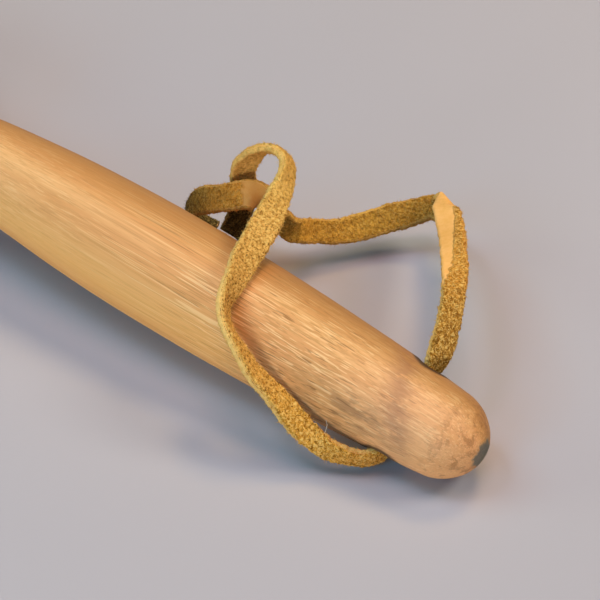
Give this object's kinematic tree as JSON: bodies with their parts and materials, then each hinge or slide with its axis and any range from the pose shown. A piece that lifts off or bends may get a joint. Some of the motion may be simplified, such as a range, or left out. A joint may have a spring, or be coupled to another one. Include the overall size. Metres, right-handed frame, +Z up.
{
  "type": "horn rattle",
  "caption": "Hand rattle: a turned wooden handle through a plugged section of horn that holds loose pebbles, with a suede wrist thong knotted through the handle's rounded end.",
  "frame": {"origin": "on the table, below the middle of the rattle's length, without its thong", "axes": "+X along the rattle towards the handle's rounded end, +Y to the side that the thong lies on, +Z up from the table"},
  "size_m": [0.2684, 0.0999, 0.0617],
  "materials": {
    "handle_wood": "pale turned wood, hand-worn, soft sheen, grain along the handle",
    "plug_wood": "darker wood, end grain, dry",
    "horn": "dark streaked horn, scraped and hand-polished",
    "brass": "dulled brass",
    "suede": "rough split suede, fuzzy edges",
    "stone": "dull river pebble"
  },
  "bodies": {
    "rattle": {"handle": "handle_wood", "horn_shell": "horn", "base_plug": "plug_wood", "crown_plug": "plug_wood", "tenon_wedge": "plug_wood", "base_brad_1": "brass", "base_brad_2": "brass", "base_brad_3": "brass", "base_brad_4": "brass", "crown_brad_1": "brass", "crown_brad_2": "brass", "crown_brad_3": "brass", "crown_brad_4": "brass", "wrist_thong": "suede"},
    "pebble_01": {"pebble_01": "stone"},
    "pebble_02": {"pebble_02": "stone"},
    "pebble_03": {"pebble_03": "stone"},
    "pebble_04": {"pebble_04": "stone"},
    "pebble_05": {"pebble_05": "stone"},
    "pebble_06": {"pebble_06": "stone"},
    "pebble_07": {"pebble_07": "stone"},
    "pebble_08": {"pebble_08": "stone"},
    "pebble_09": {"pebble_09": "stone"}
  },
  "joints": [
    {"name": "pebble_01_slide", "type": "slide", "parent": "rattle", "child": "pebble_01", "axis": [0.9986, 0, 0.0529], "range_m": [0, 0.0601]},
    {"name": "pebble_02_slide", "type": "slide", "parent": "rattle", "child": "pebble_02", "axis": [0.9997, 0, 0.0234], "range_m": [0, 0.0599]},
    {"name": "pebble_03_slide", "type": "slide", "parent": "rattle", "child": "pebble_03", "axis": [0.9999, 0, 0.0151], "range_m": [0, 0.0598]},
    {"name": "pebble_04_slide", "type": "slide", "parent": "rattle", "child": "pebble_04", "axis": [0.9999, 0, 0.0163], "range_m": [0, 0.0598]},
    {"name": "pebble_05_slide", "type": "slide", "parent": "rattle", "child": "pebble_05", "axis": [0.9996, 0, 0.029], "range_m": [0, 0.0599]},
    {"name": "pebble_06_slide", "type": "slide", "parent": "rattle", "child": "pebble_06", "axis": [0.9986, 0, 0.0529], "range_m": [0, 0.0601]},
    {"name": "pebble_07_slide", "type": "slide", "parent": "rattle", "child": "pebble_07", "axis": [0.9997, 0, 0.0234], "range_m": [0, 0.0524]},
    {"name": "pebble_08_slide", "type": "slide", "parent": "rattle", "child": "pebble_08", "axis": [0.9999, 0, 0.0163], "range_m": [0, 0.0598]},
    {"name": "pebble_09_slide", "type": "slide", "parent": "rattle", "child": "pebble_09", "axis": [0.9996, 0, 0.029], "range_m": [0, 0.0599]}
  ]
}
